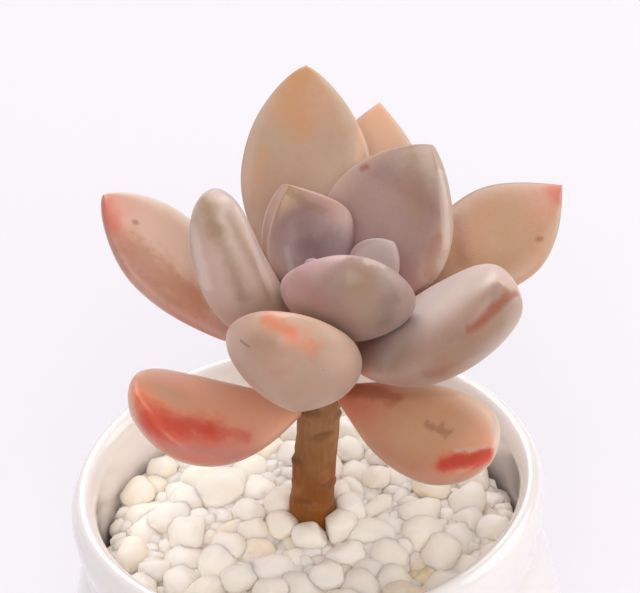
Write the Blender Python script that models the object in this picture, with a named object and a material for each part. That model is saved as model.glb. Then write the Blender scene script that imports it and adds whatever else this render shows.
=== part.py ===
"""Potted rosette succulent: a bare-stemmed ghost plant in a small glazed pot, top-dressed with white gravel.

Metres, +Z up. The origin is the centre of the pot's flat underside. The viewer stands at -Y and sees +X
to the right. Leaf azimuths are degrees from +X, counter-clockwise as seen from above.
"""
import math
import random
from dataclasses import dataclass

import bmesh
import bpy
from mathutils import Vector
from mathutils.bvhtree import BVHTree

MM = 0.001
GAP = 0.3 * MM
LEAF_GAP = 0.6 * MM

POT_HEIGHT = 62 * MM
POT_LIP_RADIUS = 35.3 * MM
POT_NECK_RADIUS = 34.2 * MM
POT_MOUTH_RADIUS = 31.5 * MM
POT_FOOT_RADIUS = 27 * MM
POT_FLOOR = 4.5 * MM
POT_FOOT_WALL = 6 * MM
FOOT_ROUNDING = 1.2 * MM
POT_STEPS = 48
BELLY_STEPS = 9
INNER_STEPS = 6
LIP_DEPTH = 3.4 * MM
LIP_STEPS = 7
LIP_BOTTOM = 55 * MM
NECK_TOP = 54 * MM
WAIST = 50.5 * MM
NECK_BOTTOM = 45 * MM
# Where each belly curve is pulled to, as radius and height: the outside from the waist down, the inside up.
OUTER_BELLY = ((37 * MM, 42 * MM), (43.5 * MM, 14 * MM))
INNER_BELLY = ((40.5 * MM, 10 * MM), (33.5 * MM, 36 * MM))

SOIL_TOP = 46.5 * MM
SOIL_STEPS = 36
# Height of the gravel's bed at the wall, and how much higher it is heaped in the middle.
GRAVEL_EDGE = 50.8 * MM
GRAVEL_MOUND = 3.4 * MM
GRAVEL_RINGS = 4
GRAVEL_STONES = 96
STONE_RADIUS = 3.15 * MM
STONE_LIFT = 0.6 * MM
STONE_TILT = 0.5
STONE_THINNEST = (0.9, 0.9, 0.8)
STONE_THICKEST = (1.05, 1.05, 0.95)
STONE_SEED = 11

STEM_SIDES = 14
STEM_END = 30 * MM
STEM_RING_SPACING = 1.8
STEM_NODE_SPACING = 3.6
STEM_NODE_SWELL = 0.14
STEM_BARE_FROM = 58.5
STEM_BARE_TO = 80.0
# Centre line and radius of the stem above the gravel: x, y, z and radius in millimetres.
STEM_SHAPE = (
    (0.7, -0.8, 58.0, 3.4),
    (1.4, -0.8, 64.0, 3.2),
    (2.8, -0.7, 74.5, 3.1),
    (4.4, -0.4, 82.0, 3.1),
    (6.2, -0.1, 90.0, 2.7),
    (7.6, 0.0, 97.0, 0.9),
)

LEAF_RINGS = 13
LEAF_SIDES = 12
CENTRE_LINE_STEPS = 48
# Shape shared by every leaf's cross-section and outline.
UPPER_FACE = 0.75
LOWER_FACE = 1.25
KEEL = 0.25
MARGIN_FULLNESS = 0.92
DEEPEST = 0.55
TIP_CROWDING = 1.25
TIP_ROUNDING = 0.02
TIP_LIFT = 0.1
RAY_STEP = 0.001 * MM
GOLDEN_ANGLE = math.radians(137.508)


@dataclass
class Leaf:
    """One fleshy leaf, in millimetres and degrees.

    It leaves the stem at `height` towards `azimuth`, climbing at `rise`, and bends up by `curl` on the way
    to its tip. `turn` swings the tip sideways, `roll` tips the face and `cup` lifts its margins. `base` and
    `base_depth` say how much of its width and thickness it has where it meets the stem, `widest` is where
    along it is widest, and a larger `point` draws its outline to a longer tip. `late_curl` holds the bend
    back and a smaller `blunt` keeps the flesh thick, both towards the tip. A smaller `shoulder` squares the
    upper face's edges and `hollow` sinks its middle.
    """

    name: str
    azimuth: float
    height: float
    rise: float
    curl: float
    length: float
    width: float
    thickness: float
    turn: float = 0.0
    roll: float = 0.0
    cup: float = 0.0
    late_curl: float = 1.2
    base: float = 0.3
    base_depth: float = 0.38
    widest: float = 0.62
    point: float = 0.72
    blunt: float = 0.5
    shoulder: float = 1.0
    hollow: float = 0.25


# From the crown outwards and down: each leaf gives way to the ones already placed.
LEAVES = (
    Leaf("leaf_bud_right", -1, 95.0, 44, 12.5, length=9.5, width=7.8, thickness=3.4, turn=-6, roll=58,
         base=0.33, widest=0.47, point=0.75),
    Leaf("leaf_inner_left", 137, 95.2, 34, 63.5, length=16.6, width=15.2, thickness=5.2, turn=17,
         roll=-21, cup=2.0, late_curl=1.0, base=0.5, widest=0.45, point=1.0, shoulder=0.5, hollow=0.7),
    Leaf("leaf_bud_left", 232, 95.8, 54, 13, length=8.4, width=5.6, thickness=3.2),
    Leaf("leaf_inner_front", 276, 92.9, 32, 46.5, length=21.8, width=18.7, thickness=9.5, turn=3,
         roll=-18, base_depth=0.42, widest=0.56, point=0.58),
    Leaf("leaf_inner_right", 40, 91.1, 45.5, 17, length=25.7, width=21.4, thickness=6.8, turn=-19,
         roll=18, cup=0.9, base=0.34, widest=0.46, point=0.86, shoulder=0.5, hollow=0.65),
    Leaf("leaf_back", 103, 88.3, 39, 17, length=37.5, width=19.3, thickness=6.0, turn=-26, roll=-5.5,
         base=0.18, widest=0.56, point=0.77),
    Leaf("leaf_upright_left", 199, 86.5, 49.5, 41.5, length=32.0, width=10.5, thickness=10.6, turn=6,
         roll=7.5, base_depth=0.26, widest=0.72, point=0.35, blunt=0.36, hollow=0.1),
    Leaf("leaf_upright_right", 324, 84.2, 28.5, 21, length=33.4, width=17.5, thickness=11.7, turn=4,
         roll=15, late_curl=1.1, base=0.14, base_depth=0.25, widest=0.58, point=0.54, blunt=0.3, hollow=0.1),
    Leaf("leaf_right", 19.5, 88.6, 12.5, 17, length=36.2, width=17.0, thickness=6.6, turn=2.5, roll=20,
         base_depth=0.3, widest=0.66, point=1.04),
    Leaf("leaf_left", 165.5, 84.6, 30, 23, length=37.2, width=17.7, thickness=7.0, turn=-2, roll=-5.5,
         base_depth=0.3, widest=0.65, point=0.84),
    Leaf("leaf_back_right", 71, 85.5, 27, 26, length=36.0, width=16.8, thickness=6.9, point=1.0),
    Leaf("leaf_front", 254, 83.7, 34.5, 32, length=29.2, width=18.5, thickness=12.1, roll=-1.5,
         base=0.4, base_depth=0.3, widest=0.68, point=0.51, blunt=0.37),
    Leaf("leaf_lower_back_right", 46, 81.8, 10, 19, length=27.0, width=16.0, thickness=8.0),
    Leaf("leaf_lower_back_left", 133, 81.5, 18, 19, length=28.0, width=16.0, thickness=8.0),
    Leaf("leaf_lower_back", 94, 78.2, 2, 28, length=27.0, width=16.8, thickness=7.9),
    Leaf("leaf_lower_left", 198, 76.0, 2, 52, length=26.8, width=19.6, thickness=9.4, roll=-5.5,
         late_curl=1.55, base=0.14, base_depth=0.3, widest=0.68, point=0.53, blunt=0.52),
    Leaf("leaf_lower_right", 317, 78.7, 0, 6.5, length=28.0, width=15.2, thickness=8.7, turn=-5,
         roll=21.5, base=0.17, base_depth=0.4, widest=0.67, point=0.46, blunt=0.44),
)

GLAZE = ((0.90, 0.89, 0.87), 0.12)
POTTING_MIX = ((0.09, 0.06, 0.04), 0.95)
WHITE_STONE = ((0.84, 0.80, 0.74), 0.55)
BARK = ((0.24, 0.15, 0.09), 0.7)
LEAF_SKIN = {
    "leaf_bud": (0.55, 0.45, 0.42),
    "leaf_inner": (0.46, 0.36, 0.34),
    "leaf_upright": (0.62, 0.53, 0.47),
    "leaf_front": (0.60, 0.46, 0.37),
    "leaf_lower": (0.64, 0.36, 0.27),
    "leaf_": (0.66, 0.46, 0.32),
}
LEAF_ROUGHNESS = 0.5


def clear_scene():
    for item in list(bpy.data.objects):
        bpy.data.objects.remove(item, do_unlink=True)


def material(name, colour, roughness):
    made = bpy.data.materials.new(name)
    made.use_nodes = True
    shader = made.node_tree.nodes["Principled BSDF"]
    shader.inputs["Base Color"].default_value = (*colour, 1.0)
    shader.inputs["Roughness"].default_value = roughness
    shader.inputs["Metallic"].default_value = 0.0
    return made


def add_object(name, bm, surface, smooth_angle=None):
    """Turns a bmesh into an object of the scene, shaded smooth where its faces meet at a low angle."""
    bmesh.ops.recalc_face_normals(bm, faces=bm.faces)
    mesh = bpy.data.meshes.new(name)
    bm.to_mesh(mesh)
    bm.free()
    if surface:
        mesh.materials.append(surface)
    if smooth_angle:
        mesh.shade_smooth()
        mesh.set_sharp_from_angle(angle=math.radians(smooth_angle))
    made = bpy.data.objects.new(name, mesh)
    bpy.context.scene.collection.objects.link(made)
    return made


def bezier(start, pull_start, pull_end, end, steps):
    """Points of a cubic curve after its start, as (radius, height) pairs."""
    corners = (start, pull_start, pull_end, end)
    points = []
    for step in range(1, steps + 1):
        t = step / steps
        s = 1 - t
        weights = (s ** 3, 3 * s * s * t, 3 * s * t * t, t ** 3)
        points.append(tuple(sum(w * c[axis] for w, c in zip(weights, corners)) for axis in (0, 1)))
    return points


def turned(name, outline, steps, surface, smooth_angle):
    """A closed solid turned about Z. Its outline runs from the axis round to the axis, down its outer side."""
    bm = bmesh.new()
    verts = [bm.verts.new((radius, 0, height)) for radius, height in outline]
    for first, second in zip(verts, verts[1:]):
        bm.edges.new((first, second))
    mesh = bpy.data.meshes.new(name)
    bm.to_mesh(mesh)
    bm.free()
    mesh.materials.append(surface)
    made = bpy.data.objects.new(name, mesh)
    bpy.context.scene.collection.objects.link(made)
    screw = made.modifiers.new("turn", "SCREW")
    screw.axis = "Z"
    screw.angle = 2 * math.pi
    screw.steps = steps
    screw.render_steps = steps
    screw.use_merge_vertices = True
    screw.merge_threshold = 0.01 * MM
    screw.use_smooth_shade = True
    bake(made)
    made.data.shade_smooth()
    made.data.set_sharp_from_angle(angle=math.radians(smooth_angle))
    return made


def bake(target):
    """Applies every modifier of an object."""
    bpy.context.view_layer.update()
    evaluated = target.evaluated_get(bpy.context.evaluated_depsgraph_get())
    finished = bpy.data.meshes.new_from_object(evaluated)
    target.modifiers.clear()
    target.data = finished


def inner_wall(clearance, top):
    """The pot's inside from its floor's edge up to `top`, drawn in by a clearance."""
    floor_edge = (POT_FOOT_RADIUS - POT_FOOT_WALL - clearance, POT_FLOOR + clearance)
    neck = (POT_MOUTH_RADIUS - clearance, NECK_BOTTOM)
    low, high = ((radius - clearance, height) for radius, height in INNER_BELLY)
    return [floor_edge] + bezier(floor_edge, low, high, neck, INNER_STEPS) + [(neck[0], top)]


def make_pot():
    """Round-bellied pot with a short neck and a rolled lip. Its underside is plain and flat."""
    lip_centre = (POT_MOUTH_RADIUS + POT_LIP_RADIUS) / 2
    lip_half = (POT_LIP_RADIUS - POT_MOUTH_RADIUS) / 2
    lip_level = POT_HEIGHT - LIP_DEPTH
    lip = []
    for step in range(1, LIP_STEPS):
        angle = math.pi * (1 - step / LIP_STEPS)
        lip.append((lip_centre + lip_half * math.cos(angle), lip_level + LIP_DEPTH * math.sin(angle)))
    lip_edge = (POT_LIP_RADIUS, lip_level)
    waist = (POT_NECK_RADIUS, WAIST)
    foot = (POT_FOOT_RADIUS, FOOT_ROUNDING)
    outline = [(0, POT_FLOOR)]
    outline += inner_wall(0, lip_level)
    outline += lip
    outline += [lip_edge]
    outline += bezier(lip_edge, (POT_LIP_RADIUS, LIP_BOTTOM), (POT_NECK_RADIUS, NECK_TOP), waist, 3)
    outline += bezier(waist, *OUTER_BELLY, foot, BELLY_STEPS)
    outline += [(POT_FOOT_RADIUS - FOOT_ROUNDING, 0), (0, 0)]
    return turned("pot", outline, POT_STEPS, material("glaze", *GLAZE), 40)


def stem_shape(height):
    """Centre and radius of the stem at a height in millimetres."""
    below = STEM_SHAPE[0]
    for above in STEM_SHAPE[1:]:
        if height < above[2]:
            break
        below = above
    span = above[2] - below[2]
    share = min(max((height - below[2]) / span, 0), 1) if span else 0
    x, y, radius = (below[axis] + share * (above[axis] - below[axis]) for axis in (0, 1, 3))
    return Vector((x, y, height)), radius


def stem_hole(depth_top):
    """A hidden cutter for the plain round hole that the stem stands in."""
    x, y, _, radius = STEM_SHAPE[0]
    bottom = STEM_END - GAP
    bm = bmesh.new()
    bmesh.ops.create_cone(
        bm, cap_ends=True, segments=STEM_SIDES, radius1=radius * MM + GAP, radius2=radius * MM + GAP,
        depth=depth_top - bottom)
    cutter = add_object("stem_hole_cutter", bm, None)
    cutter.location = (x * MM, y * MM, (depth_top + bottom) / 2)
    cutter.display_type = "WIRE"
    cutter.hide_render = True
    return cutter


def cut(target, cutter):
    boolean = target.modifiers.new("hole", "BOOLEAN")
    boolean.operation = "DIFFERENCE"
    boolean.solver = "EXACT"
    boolean.object = cutter


def make_soil(cutter):
    """Potting mix that fills the pot up to the gravel."""
    wall = inner_wall(GAP, SOIL_TOP)
    outline = [(0, SOIL_TOP)] + list(reversed(wall)) + [(0, wall[0][1])]
    soil = turned("potting_soil", outline, SOIL_STEPS, material("potting_mix", *POTTING_MIX), 40)
    cut(soil, cutter)
    return soil


def stone(name, centre, radius, rng):
    bm = bmesh.new()
    bmesh.ops.create_icosphere(bm, subdivisions=1, radius=radius)
    proportions = [rng.uniform(*limits) for limits in zip(STONE_THINNEST, STONE_THICKEST)]
    bmesh.ops.scale(bm, vec=proportions, verts=bm.verts)
    pebble = add_object(name, bm, None)
    tilts = [rng.uniform(-STONE_TILT, STONE_TILT) for _ in range(2)]
    pebble.rotation_euler = [*tilts, rng.uniform(0, math.pi)]
    pebble.location = centre
    return pebble


def gravel_height(distance):
    """Top of the gravel's bed at a distance from the pot's axis."""
    return GRAVEL_EDGE + GRAVEL_MOUND * (1 - (distance / POT_MOUTH_RADIUS) ** 2)


def make_gravel(cutter):
    """White pebbles sunk in a gently heaped bed of the same stone, spread evenly by the golden angle."""
    rng = random.Random(STONE_SEED)
    edge = POT_MOUTH_RADIUS - GAP
    bottom = SOIL_TOP + GAP
    radii = [edge * ring / GRAVEL_RINGS for ring in range(GRAVEL_RINGS + 1)]
    outline = [(radius, gravel_height(radius)) for radius in radii] + [(edge, bottom), (0, bottom)]
    surface = material("white_stone", *WHITE_STONE)
    gravel = turned("gravel_top_dressing", outline, SOIL_STEPS, surface, 30)
    loose = bpy.data.collections.new("pebbles")
    reach = edge - 1.1 * STONE_RADIUS
    for index in range(GRAVEL_STONES):
        distance = reach * math.sqrt((index + 0.5) / GRAVEL_STONES)
        angle = index * GOLDEN_ANGLE + rng.uniform(-0.03, 0.03)
        height = gravel_height(distance) + STONE_LIFT * rng.uniform(0.2, 1.8)
        centre = (distance * math.cos(angle), distance * math.sin(angle), height)
        pebble = stone(f"pebble_{index}", centre, STONE_RADIUS * rng.uniform(0.9, 1.0), rng)
        bpy.context.scene.collection.objects.unlink(pebble)
        loose.objects.link(pebble)
    bpy.context.scene.collection.children.link(loose)
    fuse = gravel.modifiers.new("pebbles", "BOOLEAN")
    fuse.operation = "UNION"
    fuse.operand_type = "COLLECTION"
    fuse.solver = "EXACT"
    fuse.collection = loose
    bake(gravel)
    for pebble in list(loose.objects):
        bpy.data.objects.remove(pebble, do_unlink=True)
    bpy.data.collections.remove(loose)
    cut(gravel, cutter)
    return gravel


def add_ring(bm, points):
    return [bm.verts.new(point) for point in points]


def bridge(bm, rings):
    """Skins a row of equal rings of vertices."""
    for lower, upper in zip(rings, rings[1:]):
        for side in range(len(lower)):
            following = (side + 1) % len(lower)
            bm.faces.new((lower[side], lower[following], upper[following], upper[side]))


def fan(bm, ring, point):
    tip = bm.verts.new(point)
    for side in range(len(ring)):
        bm.faces.new((ring[side], ring[(side + 1) % len(ring)], tip))


def make_stem():
    """Bare woody stem, a little swollen at each old leaf joint, with a plain buried end."""
    buried = STEM_END / MM
    bare = STEM_SHAPE[0][2] - 2 * STEM_RING_SPACING
    top = STEM_SHAPE[-1][2]
    ring_count = int((top - bare) / STEM_RING_SPACING)
    heights = [buried, (buried + bare) / 2]
    heights += [bare + STEM_RING_SPACING * step for step in range(ring_count)] + [top]
    bm = bmesh.new()
    rings = []
    for height in heights:
        centre, radius = stem_shape(height)
        if STEM_BARE_FROM < height < STEM_BARE_TO:
            radius += STEM_NODE_SWELL * math.cos(2 * math.pi * height / STEM_NODE_SPACING)
        points = []
        for side in range(STEM_SIDES):
            angle = 2 * math.pi * side / STEM_SIDES
            points.append((centre + radius * Vector((math.cos(angle), math.sin(angle), 0))) * MM)
        rings.append(add_ring(bm, points))
    bridge(bm, rings)
    fan(bm, rings[0], stem_shape(buried)[0] * MM)
    fan(bm, rings[-1], (stem_shape(top)[0] + Vector((0, 0, 0.5))) * MM)
    return add_object("stem", bm, material("bark", *BARK), 50)


def swell(along, base, widest, point):
    """Share of the full width at a place along the leaf: narrow base, widest part, then a closing tip."""
    if along <= widest:
        return base + (1 - base) * math.sin(math.pi / 2 * along / widest)
    past = (along - widest) / (1 - widest)
    return (1 - past * past) ** point


def leaf_frames(leaf):
    """Centre, direction, face normal and side of the leaf at each ring from its base to its tip."""
    foot, stem_radius = stem_shape(leaf.height)
    azimuth = math.radians(leaf.azimuth)
    roll = math.radians(leaf.roll)
    centre = foot + (stem_radius + GAP / MM) * Vector((math.cos(azimuth), math.sin(azimuth), 0))
    travelled = 0.0
    frames = []
    for ring in range(LEAF_RINGS):
        along = min(1 - (1 - ring / (LEAF_RINGS - 1)) ** TIP_CROWDING, 1 - TIP_ROUNDING / 4)
        steps = max(1, round((along - travelled) * CENTRE_LINE_STEPS))
        for step in range(1, steps + 1):
            middle = travelled + (along - travelled) * (step - 0.5) / steps
            centre = centre + leaf_direction(leaf, middle)[0] * leaf.length * (along - travelled) / steps
        travelled = along
        direction, normal = leaf_direction(leaf, along)
        side = normal.cross(direction)
        rolled_side = side * math.cos(roll) + normal * math.sin(roll)
        rolled_normal = normal * math.cos(roll) - side * math.sin(roll)
        frames.append((along, centre, direction, rolled_normal, rolled_side))
    return frames


def leaf_direction(leaf, along):
    climb = math.radians(leaf.rise + leaf.curl * along ** leaf.late_curl)
    heading = math.radians(leaf.azimuth + leaf.turn * along)
    outward = Vector((math.cos(heading), math.sin(heading), 0))
    up = Vector((0, 0, 1))
    direction = outward * math.cos(climb) + up * math.sin(climb)
    normal = up * math.cos(climb) - outward * math.sin(climb)
    return direction, normal


def leaf_ring(leaf, frame):
    """Cross-section of the leaf: a shallow upper face, round margins and a fuller, faintly keeled back."""
    along, centre, _, normal, side = frame
    half_width = leaf.width / 2 * swell(along, leaf.base, leaf.widest, leaf.point)
    half_depth = leaf.thickness / 2 * swell(along, leaf.base_depth, DEEPEST, leaf.blunt)
    points = []
    for index in range(LEAF_SIDES):
        angle = 2 * math.pi * index / LEAF_SIDES
        flat = abs(math.cos(angle))
        steep = abs(math.sin(angle))
        across = math.copysign(flat ** MARGIN_FULLNESS, math.cos(angle)) * half_width
        if math.sin(angle) > 0:
            dip = leaf.hollow * steep ** 2 * min(1.5 * along, 1)
            lift = half_depth * (UPPER_FACE * steep ** leaf.shoulder - dip)
        else:
            lift = -LOWER_FACE * half_depth * ((1 - KEEL) * steep + KEEL * (1 - flat))
        lift += leaf.cup * (across / (leaf.width / 2)) ** 2
        points.append(centre + side * across + normal * lift)
    return points


def clear_of_stem(point):
    centre, radius = stem_shape(point.z)
    away = point - centre
    reach = radius + STEM_NODE_SWELL + GAP / MM
    if point.z > STEM_SHAPE[-1][2] + 1 or away.length >= reach:
        return point
    return centre + away.normalized() * reach


def is_inside(tree, point):
    """Counts the walls of a closed leaf above a point: an odd count means that the point is within it."""
    up = Vector((0.1, 0.2, 1)).normalized()
    walls = 0
    hit = tree.ray_cast(point, up)[0]
    while hit:
        walls += 1
        hit = tree.ray_cast(hit + up * RAY_STEP, up)[0]
    return walls % 2 == 1


def clear_of_leaves(point, placed):
    """Presses a point out of the leaves already placed, so that the flesh takes their shape."""
    for tree in placed:
        nearest, normal, _, distance = tree.find_nearest(point * MM)
        if distance < LEAF_GAP or is_inside(tree, point * MM):
            point = (nearest + normal * LEAF_GAP) / MM
    return point


def make_leaf(leaf, placed, stem):
    """Builds a leaf from its rings and hangs it on the stem, with its origin where it leaves the stem."""
    frames = leaf_frames(leaf)
    foot = frames[0][1] * MM
    bm = bmesh.new()
    rings = []
    for frame in frames:
        points = [clear_of_stem(clear_of_leaves(point, placed)) for point in leaf_ring(leaf, frame)]
        rings.append(add_ring(bm, [point * MM for point in points]))
    bridge(bm, rings)
    first = sum((vert.co for vert in rings[0]), Vector()) / LEAF_SIDES
    fan(bm, rings[0], first)
    _, end, direction, normal, _ = frames[-1]
    fan(bm, rings[-1], (end + direction * TIP_ROUNDING * leaf.length + normal * TIP_LIFT) * MM)
    bmesh.ops.recalc_face_normals(bm, faces=bm.faces)
    placed.append(BVHTree.FromBMesh(bm))
    bmesh.ops.translate(bm, vec=-foot, verts=bm.verts)
    kind = next(prefix for prefix in LEAF_SKIN if leaf.name.startswith(prefix))
    skin = material(f"skin_{leaf.name}", LEAF_SKIN[kind], LEAF_ROUGHNESS)
    made = add_object(leaf.name, bm, skin, 60)
    made.location = foot
    made.parent = stem
    return made


def main():
    clear_scene()
    cutter = stem_hole(POT_HEIGHT)
    make_pot()
    make_soil(cutter)
    make_gravel(cutter)
    stem = make_stem()
    placed = []
    for leaf in LEAVES:
        make_leaf(leaf, placed, stem)


main()
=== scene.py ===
"""Dresses the potted ghost plant: waxy leaves, a scarred stem, white gravel and a glazed pot."""

import math
import random
from dataclasses import dataclass

import bmesh
import bpy
import numpy as np
from mathutils import Matrix, Vector, noise
from mathutils.bvhtree import BVHTree


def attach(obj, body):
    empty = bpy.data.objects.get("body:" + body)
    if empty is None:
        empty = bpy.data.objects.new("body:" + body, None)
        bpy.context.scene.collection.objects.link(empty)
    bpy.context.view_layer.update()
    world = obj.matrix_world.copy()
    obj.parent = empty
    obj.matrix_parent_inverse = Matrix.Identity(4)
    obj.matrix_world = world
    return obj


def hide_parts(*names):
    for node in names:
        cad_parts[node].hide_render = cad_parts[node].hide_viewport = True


bl_info = {
    "name": "Potted ghost plant",
    "version": (1, 0, 0),
    "blender": (4, 5, 0),
    "location": "3D View > Sidebar > Plant",
    "description": "Builds a small ghost plant in a white glazed pot with gravel",
    "category": "Object",
}

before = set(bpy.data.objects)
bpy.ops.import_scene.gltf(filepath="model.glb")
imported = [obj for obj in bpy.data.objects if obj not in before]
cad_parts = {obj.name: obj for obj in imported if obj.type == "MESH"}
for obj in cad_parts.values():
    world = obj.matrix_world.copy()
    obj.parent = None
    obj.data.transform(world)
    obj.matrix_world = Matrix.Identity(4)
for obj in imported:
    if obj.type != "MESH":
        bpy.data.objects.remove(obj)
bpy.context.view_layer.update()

MM = 0.001


@dataclass
class Leaf:
    """One fleshy leaf, in millimetres and degrees, as the solids have it."""

    name: str
    azimuth: float
    height: float
    rise: float
    curl: float
    length: float
    width: float
    thickness: float
    turn: float = 0.0
    roll: float = 0.0
    cup: float = 0.0
    late_curl: float = 1.2
    base: float = 0.3
    base_depth: float = 0.38
    widest: float = 0.62
    point: float = 0.72
    blunt: float = 0.5
    shoulder: float = 1.0
    hollow: float = 0.25


# From the crown outwards and down: each leaf gives way to the ones already placed.
LEAVES = (
    Leaf("leaf_bud_right", -1, 95.0, 44, 12.5, length=9.5, width=7.8, thickness=3.4, turn=-6, roll=58,
         base=0.33, widest=0.47, point=0.75),
    Leaf("leaf_inner_left", 137, 95.2, 34, 63.5, length=16.6, width=15.2, thickness=5.2, turn=17,
         roll=-21, cup=2.0, late_curl=1.0, base=0.5, widest=0.45, point=1.0, shoulder=0.5, hollow=0.7),
    Leaf("leaf_bud_left", 232, 95.8, 54, 13, length=8.4, width=5.6, thickness=3.2),
    Leaf("leaf_inner_front", 276, 92.9, 32, 46.5, length=21.8, width=18.7, thickness=9.5, turn=3,
         roll=-18, base_depth=0.42, widest=0.56, point=0.58),
    Leaf("leaf_inner_right", 40, 91.1, 45.5, 17, length=25.7, width=21.4, thickness=6.8, turn=-19,
         roll=18, cup=0.9, base=0.34, widest=0.46, point=0.86, shoulder=0.5, hollow=0.65),
    Leaf("leaf_back", 103, 88.3, 39, 17, length=37.5, width=19.3, thickness=6.0, turn=-26, roll=-5.5,
         base=0.18, widest=0.56, point=0.77),
    Leaf("leaf_upright_left", 199, 86.5, 49.5, 41.5, length=32.0, width=10.5, thickness=10.6, turn=6,
         roll=7.5, base_depth=0.26, widest=0.72, point=0.35, blunt=0.36, hollow=0.1),
    Leaf("leaf_upright_right", 324, 84.2, 28.5, 21, length=33.4, width=17.5, thickness=11.7, turn=4,
         roll=15, late_curl=1.1, base=0.14, base_depth=0.25, widest=0.58, point=0.54, blunt=0.3, hollow=0.1),
    Leaf("leaf_right", 19.5, 88.6, 12.5, 17, length=36.2, width=17.0, thickness=6.6, turn=2.5, roll=20,
         base_depth=0.3, widest=0.66, point=1.04),
    Leaf("leaf_left", 165.5, 84.6, 30, 23, length=37.2, width=17.7, thickness=7.0, turn=-2, roll=-5.5,
         base_depth=0.3, widest=0.65, point=0.84),
    Leaf("leaf_back_right", 71, 85.5, 27, 26, length=36.0, width=16.8, thickness=6.9, point=1.0),
    Leaf("leaf_front", 254, 83.7, 34.5, 32, length=29.2, width=18.5, thickness=12.1, roll=-1.5,
         base=0.4, base_depth=0.3, widest=0.68, point=0.51, blunt=0.37),
    Leaf("leaf_lower_back_right", 46, 81.8, 10, 19, length=27.0, width=16.0, thickness=8.0),
    Leaf("leaf_lower_back_left", 133, 81.5, 18, 19, length=28.0, width=16.0, thickness=8.0),
    Leaf("leaf_lower_back", 94, 78.2, 2, 28, length=27.0, width=16.8, thickness=7.9),
    Leaf("leaf_lower_left", 198, 76.0, 2, 52, length=26.8, width=19.6, thickness=9.4, roll=-5.5,
         late_curl=1.55, base=0.14, base_depth=0.3, widest=0.68, point=0.53, blunt=0.52),
    Leaf("leaf_lower_right", 317, 78.7, 0, 6.5, length=28.0, width=15.2, thickness=8.7, turn=-5,
         roll=21.5, base=0.17, base_depth=0.4, widest=0.67, point=0.46, blunt=0.44),
)

# Centre line and radius of the stem above the gravel: x, y, z and radius in millimetres.
STEM_SHAPE = (
    (0.7, -0.8, 58.0, 3.4),
    (1.4, -0.8, 64.0, 3.2),
    (2.8, -0.7, 74.5, 3.1),
    (4.4, -0.4, 82.0, 3.1),
    (6.2, -0.1, 90.0, 2.7),
    (7.6, 0.0, 97.0, 0.9),
)


def colour(red, green, blue):
    """A screen colour of 0 to 255 as the linear light that a shader takes."""
    parts = (value / 255 for value in (red, green, blue))
    return tuple(((p + 0.055) / 1.055) ** 2.4 if p > 0.04045 else p / 12.92 for p in parts) + (1.0,)


# Shader trees


def put(tree, kind, inputs=None, **options):
    """Adds a node, sets its options and fills its inputs with values or with other nodes' outputs."""
    node = tree.nodes.new(kind)
    for name, value in options.items():
        setattr(node, name, value)
    for name, value in (inputs or {}).items():
        if isinstance(value, bpy.types.NodeSocket):
            tree.links.new(value, node.inputs[name])
        else:
            node.inputs[name].default_value = value
    return node


def maths(tree, operation, *values, clamp=False):
    node = put(tree, "ShaderNodeMath", dict(enumerate(values)), operation=operation, use_clamp=clamp)
    return node.outputs[0]


def vectors(tree, operation, first, second):
    return put(tree, "ShaderNodeVectorMath", {0: first, 1: second}, operation=operation).outputs


def scaled(tree, vector, factor):
    inputs = {"Vector": vector, "Scale": factor}
    return put(tree, "ShaderNodeVectorMath", inputs, operation="SCALE").outputs[0]


def own_place(tree):
    """Where a point lies in its object's own frame, in metres."""
    return put(tree, "ShaderNodeTexCoord").outputs["Object"]


def fade(tree, value, start, end, low=0.0, high=1.0):
    """A value that eases from `low` to `high` while another goes from `start` to `end`."""
    inputs = {"Value": value, "From Min": start, "From Max": end, "To Min": low, "To Max": high}
    return put(tree, "ShaderNodeMapRange", inputs, interpolation_type="SMOOTHSTEP").outputs[0]


def blend(tree, share, first, second, mode="MIX"):
    """Mixes two colours."""
    node = put(tree, "ShaderNodeMix", {0: share, 6: first, 7: second}, data_type="RGBA", blend_type=mode)
    return node.outputs[2]


def grain(tree, place, scale, detail=3.0, roughness=0.5):
    """Soft noise from 0 to 1. Scale is in waves a metre."""
    inputs = {"Vector": place, "Scale": scale, "Detail": detail, "Roughness": roughness}
    return put(tree, "ShaderNodeTexNoise", inputs).outputs["Fac"]


def new_group(name, inputs, outputs):
    """An empty node group with named sockets."""
    tree = bpy.data.node_groups.new(name, "ShaderNodeTree")
    for label, kind, default in inputs:
        socket = tree.interface.new_socket(name=label, in_out="INPUT", socket_type=f"NodeSocket{kind}")
        if default is not None:
            socket.default_value = default
    for label, kind in outputs:
        tree.interface.new_socket(name=label, in_out="OUTPUT", socket_type=f"NodeSocket{kind}")
    return tree, tree.nodes.new("NodeGroupInput").outputs, tree.nodes.new("NodeGroupOutput").inputs


def placed(tree, group, **inputs):
    """Places a node group in a tree and fills its inputs."""
    return put(tree, "ShaderNodeGroup", inputs, node_tree=bpy.data.node_groups[group]).outputs


# How far a fully ragged streak's edge strays, in half widths for each unit of noise.
RAGGED_REACH = 5.0


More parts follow.
